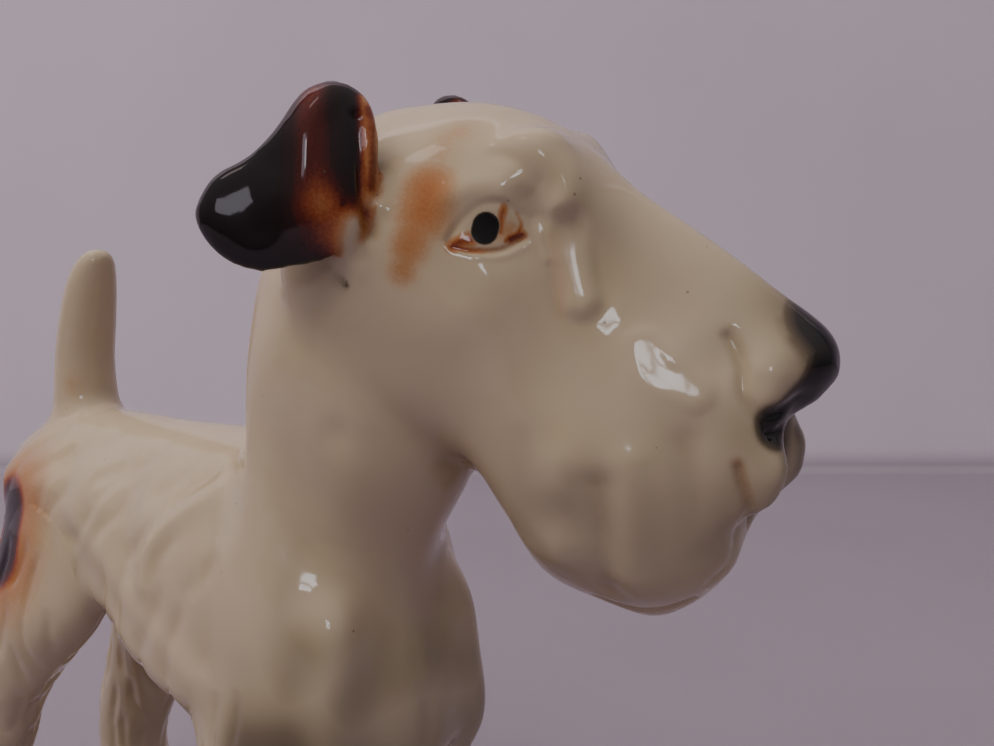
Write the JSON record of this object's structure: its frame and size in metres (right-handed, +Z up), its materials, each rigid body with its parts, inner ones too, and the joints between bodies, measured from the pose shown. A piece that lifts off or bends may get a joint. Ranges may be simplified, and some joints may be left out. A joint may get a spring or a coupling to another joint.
{
  "type": "dog figurine",
  "caption": "Standing wire-haired terrier in glossy ivory porcelain, head turned to its left, with brown folded ears, painted eyes, black nose and docked tail.",
  "frame": {"origin": "middle of the bounding box on the ground under the dog", "axes": "+X the way the dog faces, +Y its left side, +Z up"},
  "size_m": [0.1242, 0.0413, 0.1012],
  "materials": {
    "ivory_glaze": "glossy",
    "brown_glaze": "glossy"
  },
  "bodies": {
    "root": {"torso": "ivory_glaze", "head": "ivory_glaze", "right_ear": "brown_glaze", "left_ear": "brown_glaze", "tail": "ivory_glaze", "right_foreleg": "ivory_glaze", "left_foreleg": "ivory_glaze", "right_hind_leg": "ivory_glaze", "left_hind_leg": "ivory_glaze"}
  },
  "joints": []
}
